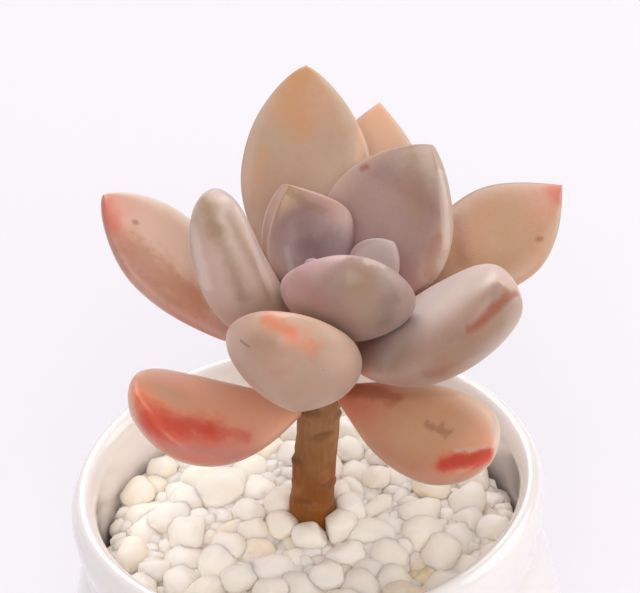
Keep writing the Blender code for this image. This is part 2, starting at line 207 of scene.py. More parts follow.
def make_mark_group():
    """A soft ragged streak on a leaf's skin between two places, in millimetres."""
    tree, given, out = new_group(
        "Skin mark",
        [("Place", "Vector", None), ("Start", "Vector", None), ("End", "Vector", None),
         ("Width", "Float", 1.0), ("Softness", "Float", 0.5), ("Ragged", "Float", 0.5),
         ("Wander", "Vector", None)],
        [("Mask", "Float")])
    line = vectors(tree, "SUBTRACT", given["End"], given["Start"])["Vector"]
    reach = maths(tree, "MULTIPLY", maths(tree, "MULTIPLY", given["Width"], given["Ragged"]), RAGGED_REACH)
    strayed = vectors(tree, "ADD", given["Place"], scaled(tree, given["Wander"], reach))["Vector"]
    offset = vectors(tree, "SUBTRACT", strayed, given["Start"])["Vector"]
    share = maths(tree, "DIVIDE", vectors(tree, "DOT_PRODUCT", offset, line)["Value"],
                  vectors(tree, "DOT_PRODUCT", line, line)["Value"], clamp=True)
    distance = vectors(tree, "DISTANCE", offset, scaled(tree, line, share))["Value"]
    away = maths(tree, "DIVIDE", distance, given["Width"])
    inner = maths(tree, "SUBTRACT", 1.0, given["Softness"])
    outer = maths(tree, "ADD", 1.0, given["Softness"])
    tree.links.new(fade(tree, away, inner, outer, 1.0, 0.0), out["Mask"])


def make_bloom_group():
    """The pale powder on a leaf: patchy, thicker where the skin is not rubbed."""
    tree, given, out = new_group(
        "Powdery bloom",
        [("Skin", "Color", None), ("Bloom", "Color", None), ("Amount", "Float", 0.3),
         ("Place", "Vector", None), ("Rubbed", "Float", 0.0)],
        [("Color", "Color"), ("Roughness", "Float")])
    broad = grain(tree, given["Place"], 130.0, 3.0)
    fine = grain(tree, given["Place"], 1900.0, 2.0)
    cover = fade(tree, broad, 0.3, 0.7, 0.55, 1.0)
    cover = maths(tree, "MULTIPLY", cover, fade(tree, fine, 0.35, 0.65, 0.85, 1.0))
    cover = maths(tree, "MULTIPLY", cover, given["Amount"])
    unrubbed = maths(tree, "SUBTRACT", 1.0, given["Rubbed"], clamp=True)
    cover = maths(tree, "MULTIPLY", cover, unrubbed, clamp=True)
    tree.links.new(blend(tree, cover, given["Skin"], given["Bloom"]), out["Color"])
    tree.links.new(fade(tree, cover, 0.0, 0.5, 0.36, 0.62), out["Roughness"])


def make_speck_group():
    """Tiny dark corky specks, only a few of the cells holding one."""
    tree, given, out = new_group(
        "Corky specks",
        [("Place", "Vector", None), ("Scale", "Float", 900.0), ("Share", "Float", 0.05),
         ("Size", "Float", 0.16)],
        [("Mask", "Float")])
    cells = put(tree, "ShaderNodeTexVoronoi", {"Vector": given["Place"], "Scale": given["Scale"]})
    draw = put(tree, "ShaderNodeSeparateColor", {0: cells.outputs["Color"]}).outputs[0]
    chosen = maths(tree, "LESS_THAN", draw, given["Share"])
    dot = fade(tree, cells.outputs["Distance"], 0.0, given["Size"], 1.0, 0.0)
    tree.links.new(maths(tree, "MULTIPLY", dot, chosen), out["Mask"])


def make_groups():
    if "Skin mark" not in bpy.data.node_groups:
        make_mark_group()
        make_bloom_group()
        make_speck_group()


def new_material(name, **values):
    """A material with a Principled shader whose plain values are set on its own sockets."""
    made = bpy.data.materials.new(name)
    made.use_nodes = True
    shader = made.node_tree.nodes["Principled BSDF"]
    for label, value in values.items():
        shader.inputs[label.replace("_", " ")].default_value = value
    return made, made.node_tree, shader.inputs


def dress(tree, shader, tone, roughness, relief, strength, distance):
    """Joins a finish's colour, roughness and relief to its shader. Distance is in metres."""
    inputs = {"Height": relief, "Strength": strength, "Distance": distance}
    tree.links.new(tone, shader["Base Color"])
    tree.links.new(roughness, shader["Roughness"])
    tree.links.new(put(tree, "ShaderNodeBump", inputs).outputs[0], shader["Normal"])


# Leaves


@dataclass
class Skin:
    """Colours of one leaf from its root to its tip, along its two margins and under it."""

    root: tuple
    face: tuple
    tip: tuple
    left: tuple
    right: tuple
    back: tuple
    tip_from: float = 0.75
    tip_to: float = 1.0
    margin_from: float = 0.6
    bloom: float = 0.15
    # Each mark: colour, places it runs through and half width in millimetres, then its softness,
    # ragged edge and strength.
    marks: tuple = ()


PEACH = (222, 181, 150)
TAN = (196, 152, 116)
BLUSH = (222, 118, 84)
CREAM = (218, 201, 191)
ORANGE_TAN = (202, 146, 92)
OLIVE = (162, 132, 102)
TAN_PAINTED_SHADE = (178, 124, 96)
PINK_MAUVE = (178, 134, 132)
MAUVE_PAINTED_SHADE = (124, 94, 97)
LAVENDER = (186, 166, 172)
BROWN = (156, 110, 84)
DARK_BROWN = (122, 94, 80)
RED_BROWN = (158, 88, 62)
ORANGE = (224, 116, 72)
RED = (204, 74, 54)
CORK = (92, 58, 44)

SKINS = {
    "leaf_bud_right": Skin(
        (156, 130, 128), (189, 174, 168), (197, 178, 166),
        (163, 139, 136), (193, 172, 165), (194, 175, 166),
    ),
    "leaf_bud_left": Skin(
        (160, 132, 132), (196, 178, 184), (200, 178, 178),
        (190, 170, 176), (190, 170, 176), (190, 168, 172),
    ),
    "leaf_inner_left": Skin(
        # The dark root and face are partly this leaf's own colour and partly painted shade of its deep cup at
        # the crown.
        (131, 90, 95), (144, 111, 105), (211, 186, 143),
        (170, 136, 117), (202, 166, 151), (171, 136, 113),
        tip_from=0.68, tip_to=0.93, margin_from=0.35,
        marks=(
            (OLIVE, ((0.9, 5.1, 108.6), (2.8, 6.1, 106.2)), 0.7, 0.6, 0.5, 0.5),
            (OLIVE, ((2.8, 6.1, 105.9), (5.5, 6.4, 104.1)), 0.6, 0.6, 0.5, 0.5),
            # Painted shade: a dark mauve streak deep in the cup near the crown.
            (MAUVE_PAINTED_SHADE, ((2.3, 2.9, 100.2), (4.6, 4.0, 100.3), (6.6, 4.6, 100.7)), 1.3, 0.8, 0.4, 0.6),
            (LAVENDER, ((0.0, 1.5, 101.0), (0.3, -0.3, 98.7)), 0.6, 0.6, 0.3, 0.5),
        ),
    ),
    "leaf_inner_right": Skin(
        (173, 129, 129), (154, 120, 108), (221, 201, 181),
        (184, 150, 133), (189, 164, 143), (173, 138, 115),
        tip_from=0.72, tip_to=0.95,
        marks=(
            (RED_BROWN, ((11.7, 12.5, 106.8), (12.3, 12.4, 107.1)), 0.4, 0.9, 0.2, 0.7),
            (CREAM, ((22.5, 5.8, 109.2), (22.5, 3.0, 107.0), (22.5, 0.7, 104.4), (22.5, -1.2, 101.3)),
             0.6, 0.4, 0.3, 0.6),
            (OLIVE, ((18.8, 9.3, 108.1), (18.8, 7.5, 105.9), (19.1, 5.0, 103.7)), 1.9, 1.0, 0.5, 0.5),
            (PINK_MAUVE, ((16.5, 0.9, 97.8), (17.2, -0.8, 96.8), (18.2, -2.3, 95.3)), 1.1, 0.8, 0.4, 0.5),
            (RED_BROWN, ((21.2, -0.2, 101.8), (20.4, -1.2, 99.8), (20.0, -2.3, 97.9)), 1.0, 0.7, 0.5, 0.35),
        ),
    ),
    "leaf_inner_front": Skin(
        (182, 136, 123), (178, 138, 131), (173, 144, 140),
        (167, 140, 127), (192, 153, 147), (155, 123, 107),
        margin_from=0.5,
        marks=(
            (OLIVE, ((9.8, -17.5, 107.6), (9.9, -18.1, 105.1), (10.0, -17.7, 101.5)), 1.9, 1.0, 0.4, 0.7),
            (DARK_BROWN, ((13.4, -17.1, 103.7), (13.1, -17.1, 102.1), (12.7, -16.5, 99.7)),
             1.6, 0.8, 0.4, 0.5),
            (CREAM, ((10.8, -15.3, 109.2), (13.0, -14.8, 108.1)), 0.6, 0.6, 0.7, 0.6),
            (PINK_MAUVE, ((1.2, -13.6, 106.4), (2.5, -15.4, 105.6), (4.0, -16.7, 104.3)),
             1.7, 0.8, 0.4, 0.5),
        ),
    ),
    "leaf_back": Skin(
        (211, 166, 140), (178, 142, 108), (206, 153, 107),
        (196, 165, 143), (203, 175, 149), (189, 149, 115),
        tip_from=0.66,
        marks=(
            (ORANGE_TAN, ((3.9, 27.4, 114.9), (3.5, 25.8, 113.2), (3.0, 24.3, 111.4), (2.8, 22.5, 109.4)),
             2.4, 1.0, 0.6, 0.6),
            (TAN, ((-2.5, 20.9, 106.1), (-3.3, 19.0, 104.2), (-4.1, 17.3, 102.3), (-4.6, 15.5, 100.3)),
             0.9, 0.9, 0.5, 0.6),
            (PEACH, ((12.0, 20.7, 108.3), (11.8, 19.1, 106.9), (11.4, 17.7, 105.4)), 0.6, 0.5, 0.3, 0.6),
        ),
    ),
    "leaf_back_right": Skin(
        (201, 152, 111), (223, 182, 147), (225, 178, 144),
        (207, 169, 152), (217, 185, 161), PEACH,
    ),
    "leaf_right": Skin(
        (175, 116, 92), (179, 133, 89), (201, 143, 110),
        (177, 143, 112), (202, 163, 127), (215, 186, 152),
        marks=(
            (RED, ((39.0, 12.6, 101.1), (39.9, 10.8, 100.1)), 1.1, 1.0, 0.3, 0.5),
            (RED_BROWN, ((36.1, 5.6, 96.9), (36.4, 5.6, 96.9)), 0.4, 0.9, 0.2, 0.7),
            (BROWN, ((24.8, 11.0, 97.3), (24.8, 8.0, 96.1), (25.1, 5.2, 94.8)), 1.1, 1.0, 0.4, 0.7),
        ),
    ),
    "leaf_left": Skin(
        (198, 160, 140), (206, 169, 145), (214, 149, 126),
        (191, 138, 116), (238, 220, 202), (216, 191, 175),
        margin_from=0.45,
        marks=(
            (RED, ((-25.2, 6.2, 107.8), (-23.9, 3.5, 106.0)), 1.4, 1.0, 0.3, 0.5),
            (RED_BROWN, ((-21.2, 5.8, 104.9), (-21.0, 6.0, 104.8)), 0.4, 0.9, 0.2, 0.7),
            # Painted shade: a broad tan band over the near half of the cupped face, where its hollow lies in
            # shade.
            (TAN_PAINTED_SHADE, ((-21.6, 1.5, 103.3), (-19.0, 0.7, 100.9), (-16.2, -0.2, 98.2),
             (-13.3, -1.2, 95.5)), 2.5, 0.8, 0.4, 0.85),
        ),
    ),
    "leaf_upright_left": Skin(
        (253, 202, 188), (176, 143, 129), (193, 172, 159),
        (205, 182, 165), (208, 188, 171), (191, 160, 141),
        tip_from=0.8, margin_from=0.5,
        marks=(
            (OLIVE, ((-10.5, -6.6, 115.1), (-9.8, -8.4, 114.2), (-9.4, -9.4, 112.5)), 1.0, 1.0, 0.4, 0.75),
            (OLIVE, ((-9.4, -9.4, 112.5), (-8.3, -10.2, 109.4), (-7.5, -10.2, 105.4), (-6.5, -9.6, 100.9)),
             0.9, 1.0, 0.4, 0.6),
            (OLIVE, ((-7.3, -8.8, 113.9), (-5.8, -9.7, 110.1), (-4.2, -9.1, 105.3), (-2.7, -8.1, 99.8)),
             0.6, 1.0, 0.3, 0.5),
            (CREAM, ((-5.9, -7.4, 114.2), (-4.6, -8.7, 110.0), (-3.4, -8.5, 104.5), (-1.9, -7.4, 98.2)),
             0.6, 0.5, 0.2, 0.7),
            (CREAM, ((-12.4, -7.7, 111.7), (-12.1, -8.8, 109.4), (-11.6, -9.2, 106.4),
             (-11.3, -8.9, 102.8)), 0.9, 0.6, 0.3, 0.6),
        ),
    ),
    "leaf_upright_right": Skin(
        (210, 130, 101), (209, 193, 185), (205, 184, 169),
        (211, 186, 177), (160, 125, 101), (188, 157, 133),
        margin_from=0.15,
        marks=(
            (RED_BROWN, ((29.3, -18.2, 103.6), (26.7, -20.2, 102.2), (24.1, -21.0, 100.4)),
             0.8, 0.7, 0.3, 0.8),
            (RED_BROWN, ((30.8, -16.9, 103.2), (29.0, -18.5, 103.5)), 0.5, 0.5, 0.3, 0.8),
            (PEACH, ((29.3, -16.2, 104.9), (31.2, -15.9, 102.9)), 0.9, 0.6, 0.4, 0.5),
            (BROWN, ((24.0, -21.1, 98.2), (22.3, -20.9, 96.6), (20.7, -20.4, 94.7), (19.0, -19.4, 92.4)),
             1.7, 1.0, 0.4, 0.8),
            (OLIVE, ((27.7, -20.1, 100.5), (25.7, -20.9, 99.2), (23.4, -21.1, 97.6), (21.5, -20.7, 95.5)),
             1.2, 1.0, 0.4, 0.65),
            (CREAM, ((20.7, -13.0, 100.3), (23.5, -13.2, 102.7), (26.4, -12.2, 104.5)), 2.0, 0.8, 0.3, 0.8),
            (CREAM, ((12.4, -13.9, 91.5), (13.9, -14.3, 93.7), (15.4, -13.7, 95.5)), 1.3, 0.8, 0.3, 0.3),
        ),
    ),
    "leaf_front": Skin(
        (204, 153, 118), (211, 168, 135), (209, 164, 139),
        (196, 162, 134), (202, 163, 140), (180, 140, 110),
        marks=(
            (PEACH, ((-2.7, -22.1, 105.0), (-0.4, -23.7, 104.3), (1.9, -24.4, 102.7)), 1.3, 1.0, 0.4, 0.5),
            (ORANGE, ((-3.2, -21.3, 105.2), (-1.6, -22.9, 104.9), (-0.1, -23.7, 104.3)),
             1.0, 0.9, 0.6, 0.7),
            (ORANGE, ((-0.1, -24.1, 103.9), (2.7, -24.5, 102.0)), 1.2, 1.0, 0.6, 0.5),
            (DARK_BROWN, ((-6.9, -21.0, 101.7), (-5.9, -22.3, 101.6)), 0.2, 0.4, 0.4, 0.6),
            (PINK_MAUVE, ((-3.0, -24.6, 98.6), (-1.9, -25.0, 98.8)), 0.5, 1.0, 0.5, 0.4),
        ),
    ),
    "leaf_lower_left": Skin(
        (252, 185, 146), (235, 170, 134), (255, 158, 105),
        (205, 111, 76), (247, 197, 172), (230, 165, 129),
        margin_from=0.25,
        marks=(
            (ORANGE, ((-23.7, -5.0, 84.9), (-22.4, -9.0, 85.9), (-21.3, -11.1, 85.5)), 1.1, 0.8, 0.5, 0.6),
            (PEACH, ((-20.6, -6.9, 84.9), (-18.4, -7.3, 83.6), (-16.2, -7.9, 82.4)), 2.1, 0.8, 0.5, 0.6),
            (ORANGE, ((-20.8, -13.1, 84.9), (-18.1, -12.3, 83.7), (-15.2, -11.2, 81.9),
             (-12.2, -10.8, 80.5)), 2.4, 1.0, 0.3, 0.6),
            (RED, ((-20.9, -13.9, 84.1), (-18.4, -14.2, 83.7), (-15.7, -13.0, 82.2), (-13.0, -11.9, 80.8)),
             2.3, 0.8, 0.4, 0.85),
            (RED, ((-13.0, -11.9, 80.8), (-10.5, -11.7, 79.7), (-7.8, -11.2, 78.3)), 0.9, 0.6, 0.5, 0.45),
            (PINK_MAUVE, ((-18.4, -16.3, 81.0), (-15.3, -16.6, 80.6), (-12.1, -15.4, 79.0),
             (-8.8, -13.4, 76.5)), 0.7, 0.6, 0.3, 0.4),
            (CREAM, ((-22.1, -1.4, 84.3), (-19.1, 0.4, 82.7), (-16.0, 1.0, 81.3)), 0.4, 0.6, 0.3, 0.5),
        ),
    ),
    "leaf_lower_right": Skin(
        (220, 126, 85), (208, 156, 114), (237, 172, 136),
        (232, 201, 171), (189, 129, 92), (227, 182, 141),
        margin_from=0.4,
        marks=(
            (RED_BROWN, ((7.8, -4.6, 80.4), (9.8, -6.0, 80.9), (11.7, -7.7, 81.3), (13.9, -9.4, 81.6)),
             1.1, 0.7, 0.5, 0.6),
            # Painted shadow: a faint brown streak where the upright right leaf's shadow falls on this leaf.
            (BROWN, ((13.6, -9.0, 81.6), (16.5, -9.7, 82.2), (19.0, -10.6, 82.6), (21.8, -11.4, 82.9)),
             0.6, 1.0, 0.4, 0.2),
            (BROWN, ((18.2, -15.8, 81.3), (20.3, -18.0, 81.3)), 0.7, 0.8, 1.0, 0.6),
            (ORANGE, ((19.9, -22.6, 79.6), (22.7, -22.9, 80.2), (25.4, -22.9, 80.3)), 1.6, 1.0, 0.4, 0.6),
            (RED, ((19.6, -22.8, 79.4), (22.6, -23.1, 80.1), (25.7, -22.8, 80.2)), 1.2, 0.6, 0.3, 0.95),
            (CREAM, ((21.4, -21.3, 80.5), (23.6, -21.6, 80.9), (25.9, -21.7, 81.1)), 0.4, 0.6, 1.2, 0.4),
            (CREAM, ((26.9, -17.2, 82.6), (26.9, -20.0, 81.8), (27.0, -21.1, 79.9)), 0.4, 0.5, 0.2, 0.6),
        ),
    ),
}
# The lower leaves at the back are hidden by the rosette, so they stay plain.
for hidden in ("leaf_lower_back", "leaf_lower_back_left", "leaf_lower_back_right"):
    SKINS[hidden] = Skin(TAN, PEACH, BLUSH, PEACH, PEACH, TAN)

CENTRE_LINE_STEPS = 96
LEAF_RINGS = 72
LEAF_SIDES = 64
MARGIN_FULLNESS = 0.92
DEEPEST = 0.55
TIP_CROWDING = 1.25
LAST_RING = 0.9985
RAY_STEP = 0.001 * MM
# Space between the stem and a leaf's root, in millimetres.
ROOT_GAP = 0.3
# Shares of a leaf's half depth that its upper face and its belly take, and how round the belly is.
TOP_FULLNESS = 0.75
BELLY_FULLNESS = 1.25
BELLY_ROUNDNESS = 0.75
# How soon along the leaf its face reaches its full hollow.
HOLLOW_RISE = 1.5
# What a smoothed dent keeps of itself, and what it takes from its neighbours each way.
DENT_KEPT = 0.4
DENT_SPREAD = 0.3
SWELL_HEIGHT = 0.10
SWELL_SCALE = 0.16


def stem_at(height):
    """Centre and radius of the stem at a height in millimetres."""
    x, y, radius = (np.interp(height, [row[2] for row in STEM_SHAPE], [row[axis] for row in STEM_SHAPE])
                    for axis in (0, 1, 3))
    return Vector((x, y, height)), float(radius)


def swell(along, base, widest, point):
    """Share of the full width at a place along the leaf: narrow base, widest part, then a closing tip."""
    if along <= widest:
        return base + (1 - base) * math.sin(math.pi / 2 * along / widest)
    past = (along - widest) / (1 - widest)
    return (1 - past * past) ** point


def leaf_direction(leaf, along):
    climb = math.radians(leaf.rise + leaf.curl * along ** leaf.late_curl)
    heading = math.radians(leaf.azimuth + leaf.turn * along)
    outward = Vector((math.cos(heading), math.sin(heading), 0))
    up = Vector((0, 0, 1))
    return outward * math.cos(climb) + up * math.sin(climb), up * math.cos(climb) - outward * math.sin(climb)


def leaf_frames(leaf):
    """Place, centre, direction, face normal and side of the leaf at each ring from its base to its tip."""
    foot, stem_radius = stem_at(leaf.height)
    azimuth = math.radians(leaf.azimuth)
    roll = math.radians(leaf.roll)
    centre = foot + (stem_radius + ROOT_GAP) * Vector((math.cos(azimuth), math.sin(azimuth), 0))
    travelled = 0.0
    frames = []
    for ring in range(LEAF_RINGS):
        along = min(1 - (1 - ring / (LEAF_RINGS - 1)) ** TIP_CROWDING, LAST_RING)
        steps = max(1, round((along - travelled) * CENTRE_LINE_STEPS))
        for step in range(1, steps + 1):
            middle = travelled + (along - travelled) * (step - 0.5) / steps
            centre = centre + leaf_direction(leaf, middle)[0] * leaf.length * (along - travelled) / steps
        travelled = along
        direction, normal = leaf_direction(leaf, along)
        side = normal.cross(direction)
        rolled_side = side * math.cos(roll) + normal * math.sin(roll)
        rolled_normal = normal * math.cos(roll) - side * math.sin(roll)
        frames.append((along, centre, direction, rolled_normal, rolled_side))
    return frames


def leaf_ring(leaf, ring_frame):
    """Cross-section of the leaf, with each point's place on the skin."""
    along, centre, _, normal, side = ring_frame
    half_width = leaf.width / 2 * swell(along, leaf.base, leaf.widest, leaf.point)
    half_depth = leaf.thickness / 2 * swell(along, leaf.base_depth, DEEPEST, leaf.blunt)
    points = []
    for index in range(LEAF_SIDES):
        angle = 2 * math.pi * index / LEAF_SIDES
        flat = abs(math.cos(angle))
        steep = abs(math.sin(angle))
        aside = math.copysign(flat ** MARGIN_FULLNESS, math.cos(angle))
        across = aside * half_width
        if math.sin(angle) > 0:
            dip = leaf.hollow * steep ** 2 * min(HOLLOW_RISE * along, 1)
            lift = half_depth * (TOP_FULLNESS * steep ** leaf.shoulder - dip)
        else:
            belly = BELLY_ROUNDNESS * steep + (1 - BELLY_ROUNDNESS) * (1 - flat)
            lift = -BELLY_FULLNESS * half_depth * belly
        lift += leaf.cup * (across / (leaf.width / 2)) ** 2
        points.append((centre + side * across + normal * lift, (along, aside, math.sin(angle))))
    return points


def is_inside(tree, point):
    """Counts the walls of a closed leaf above a point: an odd count means that the point is within it."""
    up = Vector((0.1, 0.2, 1)).normalized()
    walls = 0
    hit = tree.ray_cast(point, up)[0]
    while hit:
        walls += 1
        hit = tree.ray_cast(hit + up * RAY_STEP, up)[0]
    return walls % 2 == 1


def clear_of_leaves(point, placed_leaves, gap):
    """Presses a point out of the leaves already placed, so that the flesh takes their shape."""
    for tree, low, high in placed_leaves:
        spot = point * MM
        if any(not low[axis] - gap <= spot[axis] <= high[axis] + gap for axis in range(3)):
            continue
        nearest, normal, _, distance = tree.find_nearest(spot)
        if distance < gap or is_inside(tree, spot):
            point = (nearest + normal * gap) / MM
    return point


def settle(points, placed_leaves, gap):
    """Presses a leaf's rings clear of its neighbours and spreads each dent softly around its edge."""
    shape = np.array([[tuple(point) for point in ring] for ring in points])
    pressed = shape.copy()
    for turn in range(3):
        dent = pressed - shape
        if turn and not np.abs(dent).max():
            break
        if turn:
            around = (np.roll(dent, 1, 1) + np.roll(dent, -1, 1)) / 2
            lengthwise = dent.copy()
            lengthwise[1:-1] = (dent[:-2] + dent[2:]) / 2
            pressed = shape + DENT_KEPT * dent + DENT_SPREAD * around + DENT_SPREAD * lengthwise
        for ring in range(pressed.shape[0]):
            for side in range(pressed.shape[1]):
                point = Vector(pressed[ring, side])
                pressed[ring, side] = clear_of_leaves(point, placed_leaves, gap)
    return pressed


def skin_relief(point, leaf_number):
    """Slow swells of the flesh, in millimetres. Each leaf takes its own stretch of the noise."""
    return SWELL_HEIGHT * noise.noise(Vector(point) * SWELL_SCALE + Vector((leaf_number * 7.3, 0, 0)))


def join_rings(bm, rings):
    """Adds the faces between each ring of corners and the next."""
    for lower, upper in zip(rings, rings[1:]):
        for side in range(len(lower)):
            following = (side + 1) % len(lower)
            bm.faces.new((lower[side], lower[following], upper[following], upper[side]))


def close_ring(bm, ring, middle):
    """Adds a fan of faces from a ring of corners to the corner in its middle."""
    for side in range(len(ring)):
        bm.faces.new((ring[side], ring[(side + 1) % len(ring)], middle))


def make_leaf_mesh(leaf, number, placed_leaves, settings):
    frames = leaf_frames(leaf)
    rings = [leaf_ring(leaf, ring_frame) for ring_frame in frames]
    gap = settings.clearance
    shape = settle([[point for point, _ in ring] for ring in rings], placed_leaves, gap)
    _, end, direction, _, _ = frames[-1]
    tip = end + direction * settings.nib / MM
    bm = bmesh.new()
    place_layer = bm.verts.layers.float_vector.new("leaf_place")
    grid = []
    for ring, row in zip(rings, shape):
        line = []
        for (_, place), point in zip(ring, row):
            vert = bm.verts.new(Vector(point) * MM)
            vert[place_layer] = place
            line.append(vert)
        grid.append(line)
    join_rings(bm, grid)
    ends = (Vector(shape[0].mean(0)), tip)
    for line, point, along in zip((grid[0], grid[-1]), ends, (0.0, 1.0)):
        vert = bm.verts.new(point * MM)
        vert[place_layer] = (along, 0, 0)
        close_ring(bm, line, vert)
    bmesh.ops.recalc_face_normals(bm, faces=bm.faces)
    bm.normal_update()
    for vert in bm.verts:
        vert.co += vert.normal * skin_relief(vert.co / MM, number) * MM
    placed_leaves.append((BVHTree.FromBMesh(bm), *box_of(bm)))
    return finish_mesh(f"{leaf.name}_skin", bm)


def box_of(bm):
    points = np.array([vert.co[:] for vert in bm.verts])
    return points.min(0), points.max(0)


def finish_mesh(name, bm):
    """Turns a bmesh into a smooth-shaded object of the scene."""
    mesh = bpy.data.meshes.new(name)
    bm.to_mesh(mesh)
    bm.free()
    mesh.shade_smooth()
    made = bpy.data.objects.new(name, mesh)
    bpy.context.scene.collection.objects.link(made)
    return made


def add_marks(tree, skin, tone, spot, astray):
    """Lays a leaf's marks over its tone. Gives the new tone and where the powder is rubbed off."""
    rubbed = 0.0
    for shade, places, width, softness, ragged, strength in skin.marks:
        mask = 0.0
        for start, end in zip(places, places[1:]):
            streak = placed(tree, "Skin mark", Place=spot, Start=start, End=end, Width=width,
                            Softness=softness, Ragged=ragged, Wander=astray)["Mask"]
            mask = maths(tree, "MAXIMUM", mask, streak)
        mask = maths(tree, "MULTIPLY", mask, strength)
        tone = blend(tree, mask, tone, colour(*shade))
        rubbed = maths(tree, "MAXIMUM", rubbed, mask)
    return tone, rubbed


def skin_material(leaf, skin, settings):
    """Waxy skin: root, face and tip colours, margins, back, marks, powder, specks and fine pores."""
    made, tree, shader = new_material(
        f"{leaf.name}_skin", Subsurface_Weight=settings.glow, Subsurface_Radius=(1.0, 0.45, 0.28),
        Subsurface_Scale=0.0022, Sheen_Weight=0.2, Sheen_Roughness=0.35)
    where = own_place(tree)
    spot = scaled(tree, where, 1 / MM)
    place = put(tree, "ShaderNodeAttribute", attribute_name="leaf_place").outputs["Vector"]
    along, across, upper = put(tree, "ShaderNodeSeparateXYZ", {0: place}).outputs[:3]
    mottle = grain(tree, where, 160.0, 4.0, 0.55)
    inputs = {"Vector": where, "Scale": 520.0, "Detail": 4.0, "Roughness": 0.6}
    ragged = put(tree, "ShaderNodeTexNoise", inputs).outputs["Color"]
    astray = vectors(tree, "SUBTRACT", ragged, (0.5, 0.5, 0.5))["Vector"]
    wander = maths(tree, "MULTIPLY_ADD", mottle, 0.16, maths(tree, "ADD", along, -0.08))
    drift = maths(tree, "MULTIPLY_ADD", mottle, 0.2, maths(tree, "ADD", across, -0.1))
    tone = blend(tree, fade(tree, wander, 0.08, 0.5), colour(*skin.root), colour(*skin.face))
    tone = blend(tree, fade(tree, wander, skin.tip_from, skin.tip_to), tone, colour(*skin.tip))
    tone = blend(tree, fade(tree, upper, 0.15, -0.45), tone, colour(*skin.back))
    for shade, edge in ((skin.left, 1.0), (skin.right, -1.0)):
        outer = fade(tree, drift, edge * skin.margin_from, edge)
        rim = maths(tree, "MULTIPLY", fade(tree, wander, 0.1, 0.45), outer)
        tone = blend(tree, rim, tone, colour(*shade))
    tone, rubbed = add_marks(tree, skin, tone, spot, astray)
    tone = blend(tree, fade(tree, mottle, 0.35, 0.7, 0.0, 0.14), tone, colour(*BLUSH), "SOFT_LIGHT")
    powder = placed(tree, "Powdery bloom", Skin=tone, Bloom=(*settings.bloom_colour, 1.0), Place=where,
                    Amount=skin.bloom * settings.bloom_amount, Rubbed=rubbed)
    specks = placed(tree, "Corky specks", Place=where, Scale=520.0, Share=0.05, Size=0.1)["Mask"]
    tone = blend(tree, maths(tree, "MULTIPLY", specks, 0.5), powder["Color"], colour(*CORK))
    pores = grain(tree, where, 2600.0, 2.0)
    height = maths(tree, "MULTIPLY_ADD", mottle, 1.5, pores)
    dress(tree, shader, tone, powder["Roughness"], height, 0.12, 0.2 * MM)
    return made


# Other pieces


def lathe(name, outline, steps, wobble=None):
    """Turns an outline of (radius, height) in metres about Z. Its ends lie on the axis."""
    bm = bmesh.new()
    rings = []
    for radius, height in outline[1:-1]:
        ring = []
        for step in range(steps):
            angle = 2 * math.pi * step / steps
            grown = radius + (wobble(angle, height) if wobble else 0)
            ring.append(bm.verts.new((grown * math.cos(angle), grown * math.sin(angle), height)))
        rings.append(ring)
    join_rings(bm, rings)
    for ring, (_, height) in ((rings[0], outline[0]), (rings[-1], outline[-1])):
        close_ring(bm, ring, bm.verts.new((0, 0, height)))
    bmesh.ops.recalc_face_normals(bm, faces=bm.faces)
    return finish_mesh(name, bm)


def bezier(start, pull_start, pull_end, end, steps):
    """Points of a cubic curve after its start, as (radius, height) pairs."""
    corners = (start, pull_start, pull_end, end)
    points = []
    for step in range(1, steps + 1):
        t = step / steps
        s = 1 - t
        weights = (s ** 3, 3 * s * s * t, 3 * s * t * t, t ** 3)
        points.append(tuple(sum(w * c[axis] for w, c in zip(weights, corners)) for axis in (0, 1)))
    return points


def rest(piece, *nodes, slot):
    """Says which solids a finished piece stands for. Its slot, meant to name its finish, is not used."""
    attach(piece, "root")
    if nodes:
        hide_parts(*nodes)


def number(label, text, value, **limits):
    return bpy.props.FloatProperty(name=label, description=text, default=value, **limits)


def millimetres(label, text, value, low, high):
    """A length, kept in metres."""
    return number(label, text, value * MM, min=low * MM, max=high * MM, unit="LENGTH", precision=5)


def tint(label, text, value):
    return bpy.props.FloatVectorProperty(name=label, description=text, default=colour(*value)[:3],
                                         subtype="COLOR", size=3, min=0, max=1)


class LeafSettings(bpy.types.PropertyGroup):
    clearance: millimetres("Clearance", "Space kept between neighbouring leaves", 0.15, 0, 1)
    nib: millimetres("Nib", "Length of the small point at each leaf's tip", 0.15, 0, 2)
    bloom_colour: tint("Bloom", "Colour of the powder on the skin", (232, 222, 226))
    bloom_amount: number("Bloom amount", "How much powder the leaves carry", 1.0, min=0, max=3,
                         subtype="FACTOR")
    glow: number("Glow", "Share of light that travels inside the flesh", 0.18, min=0, max=1, subtype="FACTOR")


class StemSettings(bpy.types.PropertyGroup):
    scar_depth: millimetres("Scar depth", "Depth of the marks that fallen leaves left", 0.3, 0, 1)
    old_bark: tint("Old bark", "Colour of the woody lower stem", (140, 82, 27))
    young_bark: tint("Young bark", "Colour of the upper stem", (160, 116, 78))


class PotSettings(bpy.types.PropertyGroup):
    height: millimetres("Height", "Height of the pot", 62, 40, 90)
    lip_radius: millimetres("Lip radius", "Outer radius of the lip", 35.3, 20, 60)
    mouth_radius: millimetres("Mouth radius", "Inner radius of the mouth", 31.5, 18, 56)
    foot_radius: millimetres("Foot radius", "Radius of the flat foot", 27, 15, 50)
    glaze: tint("Glaze", "Colour of the glaze", (251, 245, 242))
    bare_clay: tint("Bare clay", "Colour of the unglazed foot", (214, 200, 184))


